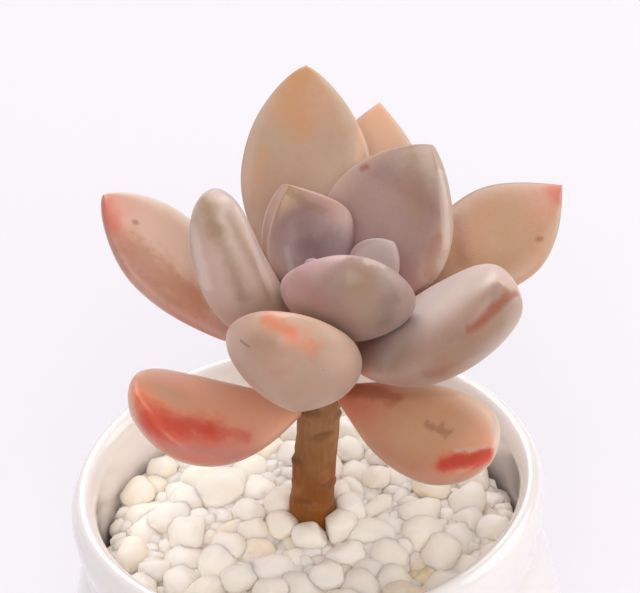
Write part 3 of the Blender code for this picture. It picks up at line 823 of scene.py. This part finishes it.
class GravelSettings(bpy.types.PropertyGroup):
    stone_radius: millimetres("Stone radius", "Average radius of a stone", 2.4, 1, 6)
    level: millimetres("Level", "Height of the top of the gravel at the wall", 54.6, 50, 62)
    mound: millimetres("Mound", "How much higher the gravel is heaped in the middle", 3.4, 0, 8)
    seed: bpy.props.IntProperty(name="Seed", description="Changes how the stones fall", default=7)
    white: tint("White stone", "Colour of most stones", (254, 246, 234))
    warm: tint("Warm stone", "Colour of the stained stones", (232, 206, 160))


class StageSettings(bpy.types.PropertyGroup):
    target: bpy.props.FloatVectorProperty(name="Target", description="Point the camera looks at", size=3,
                                          default=(0.0042, 0.0, 0.0937), subtype="TRANSLATION")
    distance: millimetres("Distance", "From the camera to its target", 400, 100, 3000)
    elevation: number("Elevation", "Camera's height as an angle", math.radians(34), subtype="ANGLE")
    roll: number("Roll", "Camera's tilt to its side", math.radians(4.5), subtype="ANGLE")
    lens: number("Lens", "Focal length in millimetres", 157.9, min=10)
    floor: tint("Floor", "Colour of the floor", (232, 229, 234))
    key_power: number("Key light", "Power of the left light in watts", 0.61, min=0)
    side_power: number("Side light", "Power of the right light in watts", 2.06, min=0)
    front_power: number("Front light", "Power of the front light in watts", 2.72, min=0)
    back_power: number("Back light", "Power of the overhead light in watts", 4.37, min=0)
    sky: number("Surround", "Strength of the light from all round", 0.22, min=0)


class PLANT_OT_stage(bpy.types.Operator):
    """Adds a pale floor, soft studio lights and the camera"""

    bl_idname = "plant.stage"
    bl_label = "Stage"

    NEARLY_WHITE = (1.0, 0.99, 0.98)
    BACKDROP_STRENGTH = 0.75

    def execute(self, context):
        settings = context.scene.plant_stage
        self.make_floor(settings)
        self.make_lights(context, settings)
        self.make_camera(context, settings)
        return {"FINISHED"}

    def make_floor(self, settings):
        bm = bmesh.new()
        bmesh.ops.create_grid(bm, x_segments=2, y_segments=2, size=3.0)
        floor = finish_mesh("floor", bm)
        made, tree, shader = new_material("floor_paper", Roughness=0.85, Specular_IOR_Level=0.2)
        where = own_place(tree)
        share = fade(tree, grain(tree, where, 3.0, 2.0), 0.3, 0.7, 0.0, 0.05)
        pale = (*settings.floor, 1.0)
        tree.links.new(blend(tree, share, pale, colour(222, 218, 224)), shader["Base Color"])
        floor.data.materials.append(made)

    def make_lights(self, context, settings):
        middle = Vector(settings.target)
        lights = (("key", (-0.45, -0.30, 0.60), 0.55, settings.key_power, self.NEARLY_WHITE),
                  ("side", (0.65, 0.05, 0.30), 0.6, settings.side_power, self.NEARLY_WHITE),
                  ("front", (0.0, -0.60, 0.50), 0.6, settings.front_power, self.NEARLY_WHITE),
                  ("back", (-0.05, 0.42, 0.65), 0.7, settings.back_power, (1.0, 0.985, 1.0)))
        for name, place, size, power, shade in lights:
            data = bpy.data.lights.new(name, "AREA")
            data.shape = "DISK"
            data.size = size
            data.energy = power
            data.color = shade
            light = bpy.data.objects.new(name, data)
            light.location = place
            light.rotation_euler = (middle - Vector(place)).to_track_quat("-Z", "Y").to_euler()
            context.scene.collection.objects.link(light)
        world = context.scene.world or bpy.data.worlds.new("surround")
        context.scene.world = world
        world.use_nodes = True
        tree = world.node_tree
        backdrop = tree.nodes["Background"].inputs
        backdrop["Color"].default_value = (1.0, 0.98, 0.99, 1.0)
        seen = put(tree, "ShaderNodeLightPath").outputs["Is Camera Ray"]
        strength = fade(tree, seen, 0.0, 1.0, settings.sky, self.BACKDROP_STRENGTH)
        tree.links.new(strength, backdrop["Strength"])
        context.scene.view_settings.view_transform = "Standard"

    def make_camera(self, context, settings):
        data = bpy.data.cameras.new("camera")
        data.sensor_width = 36.0
        data.lens = settings.lens
        data.clip_start = 0.01
        camera = bpy.data.objects.new("camera", data)
        back = Vector((0, -math.cos(settings.elevation), math.sin(settings.elevation)))
        right = Vector((1, 0, 0))
        up = back.cross(right)
        cosine, sine = math.cos(settings.roll), math.sin(settings.roll)
        axes = Matrix((right * cosine - up * sine, right * sine + up * cosine, back)).transposed().to_4x4()
        camera.matrix_world = Matrix.Translation(Vector(settings.target) + back * settings.distance) @ axes
        context.scene.collection.objects.link(camera)
        context.scene.camera = camera


class PLANT_OT_pot(bpy.types.Operator):
    """Makes the glazed pot with its rolled lip"""

    bl_idname = "plant.pot"
    bl_label = "Pot"

    FLOOR_HEIGHT = 4.5 * MM
    NECK_HEIGHT = 45 * MM
    LIP_RISE = 3.4 * MM
    FOOT_EDGE = 1.2 * MM
    WAIST = (34.2 * MM, 50.5 * MM)
    # Where the glaze gathers under the lip.
    POOL_HEIGHT = 51 * MM

    def execute(self, context):
        settings = context.scene.plant_pot
        pot = lathe("pot_glazed", self.outline(settings), 192, self.wobble)
        pot.data.materials.append(self.glaze(settings))
        rest(pot, "pot", slot="glaze")
        return {"FINISHED"}

    @staticmethod
    def wobble(angle, height):
        """Slight unevenness of a pot thrown by hand, in metres."""
        return 0.00007 * math.sin(2 * angle + 0.8) + 0.00004 * math.sin(3 * angle + height / MM * 0.13)

    def outline(self, settings):
        """The pot's section from the floor inside, over the lip and down to the foot."""
        steps = 3
        floor_edge = (settings.foot_radius - 6 * MM, self.FLOOR_HEIGHT)
        neck = (settings.mouth_radius, self.NECK_HEIGHT)
        level = settings.height - self.LIP_RISE
        outline = [(0, floor_edge[1]), floor_edge]
        outline += bezier(floor_edge, (40.5 * MM, 10 * MM), (33.5 * MM, 36 * MM), neck, 8 * steps)
        outline += [(neck[0], neck[1] + (level - neck[1]) * share) for share in (0.3, 0.6, 0.85)]
        middle = (settings.mouth_radius + settings.lip_radius) / 2
        half = (settings.lip_radius - settings.mouth_radius) / 2
        lip_steps = 12 * steps
        for step in range(lip_steps + 1):
            angle = math.pi * (1 - step / lip_steps)
            outline.append((middle + half * math.cos(angle), level + self.LIP_RISE * math.sin(angle)))
        lip_edge = (settings.lip_radius, level)
        waist = self.WAIST
        foot = (settings.foot_radius, self.FOOT_EDGE)
        outline += bezier(lip_edge, (settings.lip_radius, 55 * MM), (waist[0], 54 * MM), waist, 6 * steps)
        outline += bezier(waist, (37 * MM, 42 * MM), (43.5 * MM, 14 * MM), foot, 16 * steps)
        for share in (0.25, 0.5, 0.75, 1.0):
            angle = math.pi / 2 * share
            inwards = self.FOOT_EDGE * (1 - math.cos(angle))
            outline.append((foot[0] - inwards, self.FOOT_EDGE * (1 - math.sin(angle))))
        outline += [(settings.foot_radius - 4 * MM, 0), (0, 0)]
        return outline

    def glaze(self, settings):
        """Milky glaze over clay: faint clouds, a pooled line, a warm tone that paints shade inside the pot
        and also tints the foot's lowest part, and a bare foot ring.
        """
        made, tree, shader = new_material("pot_glaze", Coat_Weight=0.5, Coat_Roughness=0.04,
                                          Subsurface_Weight=0.1, Subsurface_Radius=(1.0, 0.9, 0.8),
                                          Subsurface_Scale=1.5 * MM)
        where = own_place(tree)
        height = put(tree, "ShaderNodeSeparateXYZ", {0: where}).outputs[2]
        flat = vectors(tree, "MULTIPLY", where, (1, 1, 0))["Vector"]
        broad = grain(tree, where, 60.0, 3.0)
        clouds = fade(tree, broad, 0.35, 0.65, 0.0, 0.35)
        tone = blend(tree, clouds, (*settings.glaze, 1.0), colour(240, 232, 232))
        # Nearer the axis than 4 mm inside the lip, the glaze turns warm cream: painted warm shade inside the
        # pot below its neck, and the same tint on the lowest part of the foot.
        from_axis = vectors(tree, "LENGTH", flat, (0, 0, 0))["Value"]
        painted_shade_inside_and_foot = maths(tree, "LESS_THAN", from_axis, settings.lip_radius - 4 * MM)
        tone = blend(tree, painted_shade_inside_and_foot, tone, colour(250, 230, 211))
        from_pool = maths(tree, "ABSOLUTE", maths(tree, "SUBTRACT", height, self.POOL_HEIGHT))
        tone = blend(tree, fade(tree, from_pool, 0.0, 3 * MM, 0.18, 0.0), tone, colour(232, 224, 222))
        bare = fade(tree, maths(tree, "MULTIPLY_ADD", broad, 0.5 * MM, height), 0.9 * MM, 0.5 * MM)
        tone = blend(tree, bare, tone, (*settings.bare_clay, 1.0))
        pits = placed(tree, "Corky specks", Place=where, Scale=260.0, Share=0.03, Size=0.08)["Mask"]
        tone = blend(tree, maths(tree, "MULTIPLY", pits, 0.35), tone, colour(196, 184, 172))
        rough = maths(tree, "MULTIPLY_ADD", broad, 0.06, fade(tree, bare, 0.0, 1.0, 0.1, 0.75))
        dress(tree, shader, tone, rough, maths(tree, "SUBTRACT", broad, pits), 0.08, 0.6 * MM)
        return made


class PLANT_OT_soil(bpy.types.Operator):
    """Gives the potting soil under the gravel its damp, crumbly finish"""

    bl_idname = "plant.soil"
    bl_label = "Soil"

    def execute(self, context):
        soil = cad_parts["potting_soil"]
        made, tree, shader = new_material("potting_mix", Specular_IOR_Level=0.3)
        where = own_place(tree)
        crumbs = put(tree, "ShaderNodeTexVoronoi", {"Vector": where, "Scale": 520.0}).outputs["Distance"]
        coarse = grain(tree, where, 300.0, 5.0, 0.65)
        tone = blend(tree, coarse, colour(54, 38, 28), colour(112, 84, 60))
        tone = blend(tree, fade(tree, crumbs, 0.1, 0.6), tone, colour(38, 28, 22))
        rough = fade(tree, coarse, 0.3, 0.7, 0.7, 0.98)
        dress(tree, shader, tone, rough, maths(tree, "SUBTRACT", coarse, crumbs), 0.8, 0.8 * MM)
        for slot in soil.material_slots:
            slot.material = made
        return {"FINISHED"}


class PLANT_OT_gravel(bpy.types.Operator):
    """Pours white gravel into the pot around the stem"""

    bl_idname = "plant.gravel"
    bl_label = "Gravel"

    # Lengths in millimetres. A stone's size is a share of the average radius.
    SOIL_TOP = 46.8
    MOUTH = 31.3
    TRIES = 70
    MISSES = 25
    CLOSENESS = 0.8
    STONE_SIZES = (0.72, 1.35)
    COLLAR_STONES = 7
    COLLAR_RADIUS = 2.3
    COLLAR_LAYER = 3.2
    GRIT_PITCH = 2.3
    GRIT_SIZES = (1.3, 1.8)
    GRIT_DEPTH = 4.3
    FLATS = 9
    FLATTENING = 0.7
    # Makes up for what the flats take off a stone.
    GROWTH = 1.14
    # Place of each stained patch, x and y, and its reach.
    WARM_STONES = ((17.2, -12.6, 2.6), (-15.4, -13.3, 1.8))

    def execute(self, context):
        settings = context.scene.plant_gravel
        stones = self.pour(settings)
        level = sorted(stone[2] for stone in stones)[len(stones) // 2]
        surface = self.stone_material(settings)
        upper = [stone for stone in stones if stone[2] > level]
        lower = [stone for stone in stones if stone[2] <= level] + self.grit(settings)
        detail = 3
        groups = (("gravel_surface", upper, detail), ("gravel_below", lower, detail - 1))
        for name, members, subdivisions in groups:
            piece = self.heap(name, members, subdivisions)
            piece.data.materials.append(surface)
            rest(piece, "gravel_top_dressing", slot="white_stone")
        return {"FINISHED"}

    def pour(self, settings):
        """Drops each stone at the lowest of many random places until the bed is level, in millimetres."""
        rng = np.random.default_rng(settings.seed)
        stem = np.array(STEM_SHAPE[0][:2])
        stones = self.collar(settings, rng)
        misses = 0
        while misses < self.MISSES:
            radius = settings.stone_radius / MM * rng.uniform(*self.STONE_SIZES)
            angle = rng.uniform(0, 2 * math.pi, self.TRIES)
            distance = (self.MOUTH - radius) * np.sqrt(rng.uniform(0, 1, self.TRIES))
            spots = np.stack([distance * np.cos(angle), distance * np.sin(angle)], 1)
            spots = spots[np.hypot(*(spots - stem).T) > STEM_SHAPE[0][3] + 0.8 * radius]
            tops = settings.level / MM + settings.mound / MM * (1 - (np.hypot(*spots.T) / self.MOUTH) ** 2)
            apart = np.hypot(*(spots[:, None] - stones[None, :, :2]).transpose(2, 0, 1))
            reach = self.CLOSENESS * (radius + stones[None, :, 3])
            over = np.sqrt(np.maximum(reach ** 2 - apart ** 2, 0)) + stones[None, :, 2]
            heights = np.maximum(self.SOIL_TOP + radius, np.where(apart < reach, over, 0).max(1))
            best = int(np.argmin(heights - tops))
            if heights[best] + radius > tops[best]:
                misses += 1
            else:
                stones = np.vstack([stones, (*spots[best], heights[best], radius)])
        return [tuple(stone) for stone in stones]

    def collar(self, settings, rng):
        """Stones set close around the stem's foot in two layers, in millimetres."""
        x, y, _, stem_radius = STEM_SHAPE[0]
        top = (settings.level + settings.mound) / MM
        stones = []
        for layer in range(2):
            for number in range(self.COLLAR_STONES):
                radius = self.COLLAR_RADIUS * rng.uniform(0.9, 1.15)
                angle = 2 * math.pi * (number + 0.5 * layer + rng.uniform(-0.1, 0.1)) / self.COLLAR_STONES
                distance = stem_radius + 0.85 * radius + 0.7 * layer
                height = top - radius - self.COLLAR_LAYER * layer - rng.uniform(0, 0.7)
                spot = (x + distance * math.cos(angle), y + distance * math.sin(angle))
                stones.append((*spot, height, radius))
        return np.array(stones)

    def grit(self, settings):
        """Small stones in a close pattern, filling the bed between the large ones, in millimetres."""
        rng = np.random.default_rng(settings.seed + 1)
        stones = []
        rows = int(self.MOUTH / self.GRIT_PITCH) + 1
        for row in range(-rows, rows + 1):
            for place in range(-rows, rows + 1):
                jitter = rng.uniform(-0.4, 0.4, 2)
                x = (place + 0.5 * (row % 2)) * self.GRIT_PITCH + jitter[0]
                y = 0.87 * row * self.GRIT_PITCH + jitter[1]
                share = math.hypot(x, y) / self.MOUTH
                radius = rng.uniform(*self.GRIT_SIZES)
                if share * self.MOUTH < self.MOUTH - 0.75 * radius:
                    top = (settings.level + settings.mound * (1 - share ** 2)) / MM
                    stones.append((x, y, top - self.GRIT_DEPTH - rng.uniform(0, 1.0), radius))
        return stones

    def heap(self, name, members, subdivisions):
        """One mesh of separate stones, each with its own shape and tint."""
        bm = bmesh.new()
        layer = bm.verts.layers.float_color.new("stone_tint")
        for number, (x, y, z, radius) in enumerate(members):
            rng = random.Random(f"{name}{number}")
            made = bmesh.ops.create_icosphere(bm, subdivisions=subdivisions, radius=1.0)["verts"]
            stretch = Vector((rng.uniform(1.0, 1.3), rng.uniform(0.88, 1.1), rng.uniform(0.74, 0.95)))
            heading = rng.uniform(0, math.pi)
            lean = rng.uniform(-0.7, 0.7)
            turn = Matrix.Rotation(heading, 3, "Z") @ Matrix.Rotation(lean, 3, "X")
            flats = [(self.random_direction(rng), rng.uniform(0.66, 0.92)) for _ in range(self.FLATS)]
            is_warm = any(math.hypot(x - spot[0], y - spot[1]) < spot[2] for spot in self.WARM_STONES)
            shade = (rng.random(), 1.0 if is_warm else rng.random() ** 6 * 0.6, rng.random(), 1.0)
            shift = Vector((rng.uniform(0, 50), rng.uniform(0, 50), rng.uniform(0, 50)))
            for vert in made:
                point = vert.co.copy()
                for direction, depth in flats:
                    over = point.dot(direction) - depth
                    if over > 0:
                        point -= direction * over * self.FLATTENING
                point *= 1 + 0.16 * noise.noise(point * 1.5 + shift) + 0.05 * noise.noise(point * 4 + shift)
                point = turn @ Vector(a * b for a, b in zip(point, stretch))
                vert.co = (point * radius * self.GROWTH + Vector((x, y, z))) * MM
                vert[layer] = shade
        return finish_mesh(name, bm)

    @staticmethod
    def random_direction(rng):
        return Vector((rng.gauss(0, 1), rng.gauss(0, 1), rng.gauss(0, 1))).normalized()

    @staticmethod
    def stone_material(settings):
        """Milky stone: slight tints from stone to stone, stains in a few, and a finely pitted face."""
        made, tree, shader = new_material("white_gravel", Subsurface_Weight=0.5, Subsurface_Scale=0.003,
                                          Subsurface_Radius=(1.0, 0.85, 0.7))
        where = own_place(tree)
        tints = put(tree, "ShaderNodeAttribute", attribute_name="stone_tint").outputs["Color"]
        first, warmth, third = put(tree, "ShaderNodeSeparateColor", {0: tints}).outputs[:3]
        veins = grain(tree, where, 380.0, 5.0, 0.6)
        pits = grain(tree, where, 1800.0, 3.0, 0.6)
        tone = blend(tree, maths(tree, "MULTIPLY", first, 0.5), (*settings.white, 1.0), colour(250, 238, 222))
        tone = blend(tree, maths(tree, "MULTIPLY", third, 0.35), tone, colour(250, 242, 238))
        stain = maths(tree, "MULTIPLY", warmth, fade(tree, veins, 0.35, 0.65, 0.35, 1.0))
        tone = blend(tree, stain, tone, (*settings.warm, 1.0))
        tone = blend(tree, fade(tree, veins, 0.6, 0.8, 0.0, 0.25), tone, colour(238, 222, 204))
        rough = fade(tree, pits, 0.3, 0.7, 0.38, 0.62)
        dress(tree, shader, tone, rough, maths(tree, "ADD", veins, pits), 0.25, 0.3 * MM)
        return made


class PLANT_OT_stem(bpy.types.Operator):
    """Grows the bare woody stem with its leaf scars"""

    bl_idname = "plant.stem"
    bl_label = "Stem"

    # Height in millimetres, azimuth in degrees, and size of each scar.
    SCARS = ((76.0, 232, 1.5), (71.6, 285, 1.3), (66.8, 195, 1.3), (62.5, 312, 1.0), (60.0, 245, 0.8),
             (74.5, 340, 1.0), (58.5, 80, 1.1), (62.0, 130, 1.1), (66.5, 60, 1.2), (70.0, 110, 1.0),
             (74.0, 40, 1.1), (76.5, 150, 1.2))
    # Height of the bark's fine wrinkles and of its slow knuckles, in millimetres.
    WRINKLE = 0.09
    KNUCKLE = 0.28

    def execute(self, context):
        settings = context.scene.plant_stem
        stem = self.bark_tube(settings)
        stem.data.materials.append(self.bark(settings))
        rest(stem, "stem", slot="bark")
        return {"FINISHED"}

    def bark_tube(self, settings):
        sides = 96
        heights = np.concatenate([[30, 42], np.arange(48, 96.8, 0.25), [97.0]])
        depth = settings.scar_depth / MM
        bm = bmesh.new()
        layer = bm.verts.layers.float.new("scar")
        rings = []
        for height in heights:
            centre, radius = stem_at(height)
            ring = []
            for side in range(sides):
                angle = 2 * math.pi * side / sides
                outward = Vector((math.cos(angle), math.sin(angle), 0))
                mark, lift = self.scar_at(height, angle, radius)
                wrinkle = noise.noise(Vector((6 * math.cos(angle), 6 * math.sin(angle), height * 0.18)))
                knuckle = noise.noise(Vector((1.6 * math.cos(angle), 1.6 * math.sin(angle), height * 0.22)))
                grown = radius + self.WRINKLE * wrinkle + self.KNUCKLE * knuckle + depth * lift
                vert = bm.verts.new((centre + outward * grown) * MM)
                vert[layer] = mark
                ring.append(vert)
            rings.append(ring)
        join_rings(bm, rings)
        bm.faces.new(rings[0])
        bm.faces.new(rings[-1])
        bmesh.ops.recalc_face_normals(bm, faces=bm.faces)
        return finish_mesh("stem_bark", bm)

    def scar_at(self, height, angle, radius):
        """How much of a scar there is at a point, and its relief: a sunken oval under a raised brow."""
        mark = lift = 0.0
        for scar_height, azimuth, size in self.SCARS:
            swing = (angle - math.radians(azimuth) + math.pi) % (2 * math.pi) - math.pi
            aside = swing * radius / (1.9 * size)
            upward = (height - scar_height + 0.5 * aside * aside) / (0.75 * size)
            reach = math.hypot(aside, upward)
            if reach < 1.6:
                inside = max(0.0, 1 - reach * reach)
                mark = max(mark, min(1.0, 1.5 * inside))
                lift += -0.8 * inside + 0.7 * math.exp(-((reach - 1.1) / 0.22) ** 2) * (upward < 0.4)
        return mark, lift

    @staticmethod
    def bark(settings):
        """Dry skin on the upper stem over brown wood below, with scars, streaks and cracks."""
        made, tree, shader = new_material("stem_bark", Specular_IOR_Level=0.35)
        where = own_place(tree)
        scar = put(tree, "ShaderNodeAttribute", attribute_name="scar").outputs["Fac"]
        height = put(tree, "ShaderNodeSeparateXYZ", {0: where}).outputs[2]
        drawn = put(tree, "ShaderNodeMapping", {"Vector": where, "Scale": (1.0, 1.0, 0.22)}).outputs[0]
        streaks = grain(tree, drawn, 1500.0, 4.0, 0.65)
        blotch = grain(tree, where, 260.0, 4.0, 0.6)
        climb = maths(tree, "MULTIPLY_ADD", blotch, 10 * MM, height)
        young = fade(tree, climb, 64 * MM, 82 * MM)
        tone = blend(tree, young, (*settings.old_bark, 1.0), (*settings.young_bark, 1.0))
        tone = blend(tree, fade(tree, streaks, 0.35, 0.7, 0.0, 0.3), tone, colour(116, 70, 36))
        tone = blend(tree, fade(tree, blotch, 0.5, 0.75, 0.0, 0.4), tone, colour(184, 126, 86))
        rusty = fade(tree, grain(tree, where, 140.0, 2.0), 0.5, 0.7, 0.0, 0.5)
        tone = blend(tree, rusty, tone, colour(158, 78, 36))
        tone = blend(tree, maths(tree, "MULTIPLY", scar, 0.5), tone, colour(104, 66, 38))
        rough = fade(tree, streaks, 0.3, 0.7, 0.55, 0.8)
        dress(tree, shader, tone, rough, maths(tree, "ADD", streaks, blotch), 0.35, 0.3 * MM)
        return made


class PLANT_OT_leaves(bpy.types.Operator):
    """Grows every leaf, from the crown outwards and down"""

    bl_idname = "plant.leaves"
    bl_label = "Leaves"

    def execute(self, context):
        settings = context.scene.plant_leaves
        placed_leaves = []
        for number, leaf in enumerate(LEAVES):
            piece = make_leaf_mesh(leaf, number, placed_leaves, settings)
            piece.data.materials.append(skin_material(leaf, SKINS[leaf.name], settings))
            rest(piece, leaf.name, slot=f"skin_{leaf.name}")
        return {"FINISHED"}


class PLANT_PT_sidebar(bpy.types.Panel):
    """Lists the plant's pieces and their settings"""

    bl_label = "Ghost plant"
    bl_idname = "PLANT_PT_sidebar"
    bl_space_type = "VIEW_3D"
    bl_region_type = "UI"
    bl_category = "Plant"

    def draw(self, context):
        for label, operator, owner in MENU:
            box = self.layout.box()
            box.operator(operator, text=label)
            settings = getattr(context.scene, owner, None)
            if settings:
                for name in settings.bl_rna.properties.keys():
                    if name not in ("rna_type", "name"):
                        box.prop(settings, name)


MENU = (
    ("Stage", "plant.stage", "plant_stage"),
    ("Pot", "plant.pot", "plant_pot"),
    ("Soil", "plant.soil", ""),
    ("Gravel", "plant.gravel", "plant_gravel"),
    ("Stem", "plant.stem", "plant_stem"),
    ("Leaves", "plant.leaves", "plant_leaves"),
)
SETTINGS = {
    "plant_stage": StageSettings,
    "plant_pot": PotSettings,
    "plant_gravel": GravelSettings,
    "plant_stem": StemSettings,
    "plant_leaves": LeafSettings,
}
CLASSES = (
    *SETTINGS.values(), PLANT_OT_stage, PLANT_OT_pot, PLANT_OT_soil, PLANT_OT_gravel, PLANT_OT_stem,
    PLANT_OT_leaves, PLANT_PT_sidebar,
)


def register():
    for made in CLASSES:
        bpy.utils.register_class(made)
    for owner, kind in SETTINGS.items():
        setattr(bpy.types.Scene, owner, bpy.props.PointerProperty(type=kind))


def unregister():
    for owner in SETTINGS:
        delattr(bpy.types.Scene, owner)
    for made in reversed(CLASSES):
        bpy.utils.unregister_class(made)


def main():
    register()
    make_groups()
    bpy.ops.plant.stage()
    bpy.ops.plant.pot()
    bpy.ops.plant.soil()
    bpy.ops.plant.gravel()
    bpy.ops.plant.stem()
    bpy.ops.plant.leaves()


if __name__ == "__main__":
    main()
